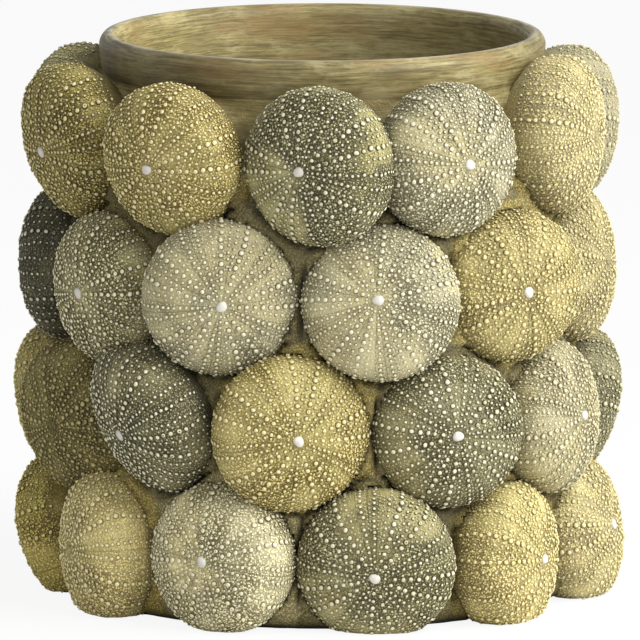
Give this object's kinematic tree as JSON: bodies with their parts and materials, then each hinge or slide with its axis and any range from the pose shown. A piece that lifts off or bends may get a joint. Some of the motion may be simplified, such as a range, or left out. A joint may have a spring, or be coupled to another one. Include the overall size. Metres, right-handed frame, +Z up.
{
  "type": "sea urchin vase",
  "caption": "Wide round vase with a rounded, open mouth, its wall set all round with staggered rows of beaded sea urchin tests.",
  "frame": {"origin": "centre of the flat underside that the vase stands on, on the axis of the turned pot", "axes": "+Z up along the pot's axis, out of the mouth; -Y is the side that the picture shows; +X to its right"},
  "size_m": [0.2519, 0.249, 0.23],
  "materials": {
    "pot_glaze": "satin, brushed horizontal streaks of tan, ochre and olive, worn pale along the lip",
    "plaster": "matt, rough, sandy tan with a dark wash in the hollows",
    "charcoal": "matt, dark grey-green with off-white tubercle tips",
    "moss": "matt, mid grey-green with off-white tubercle tips",
    "pale": "matt, pale grey-green with off-white tubercle tips",
    "ochre": "matt, yellow ochre with cream tubercle tips",
    "olive": "matt, olive tan with cream tubercle tips",
    "sand": "matt, pale sand grey with cream tubercle tips"
  },
  "bodies": {
    "root": {"pot": "pot_glaze", "plaster_bed": "plaster", "urchin_row1_01": "charcoal", "urchin_row1_02": "olive", "urchin_row1_03": "ochre", "urchin_row1_04": "charcoal", "urchin_row1_05": "pale", "urchin_row1_06": "ochre", "urchin_row1_07": "ochre", "urchin_row1_08": "moss", "urchin_row1_09": "sand", "urchin_row1_10": "olive", "urchin_row2_01": "charcoal", "urchin_row2_02": "moss", "urchin_row2_03": "pale", "urchin_row2_04": "pale", "urchin_row2_05": "ochre", "urchin_row2_06": "ochre", "urchin_row2_07": "pale", "urchin_row2_08": "charcoal", "urchin_row2_09": "ochre", "urchin_row2_10": "sand", "urchin_row3_01": "olive", "urchin_row3_02": "olive", "urchin_row3_03": "charcoal", "urchin_row3_04": "ochre", "urchin_row3_05": "moss", "urchin_row3_06": "sand", "urchin_row3_07": "moss", "urchin_row3_08": "ochre", "urchin_row3_09": "pale", "urchin_row3_10": "charcoal", "urchin_row4_01": "olive", "urchin_row4_02": "ochre", "urchin_row4_03": "pale", "urchin_row4_04": "moss", "urchin_row4_05": "ochre", "urchin_row4_06": "ochre", "urchin_row4_07": "sand", "urchin_row4_08": "olive", "urchin_row4_09": "moss", "urchin_row4_10": "pale"}
  },
  "joints": []
}
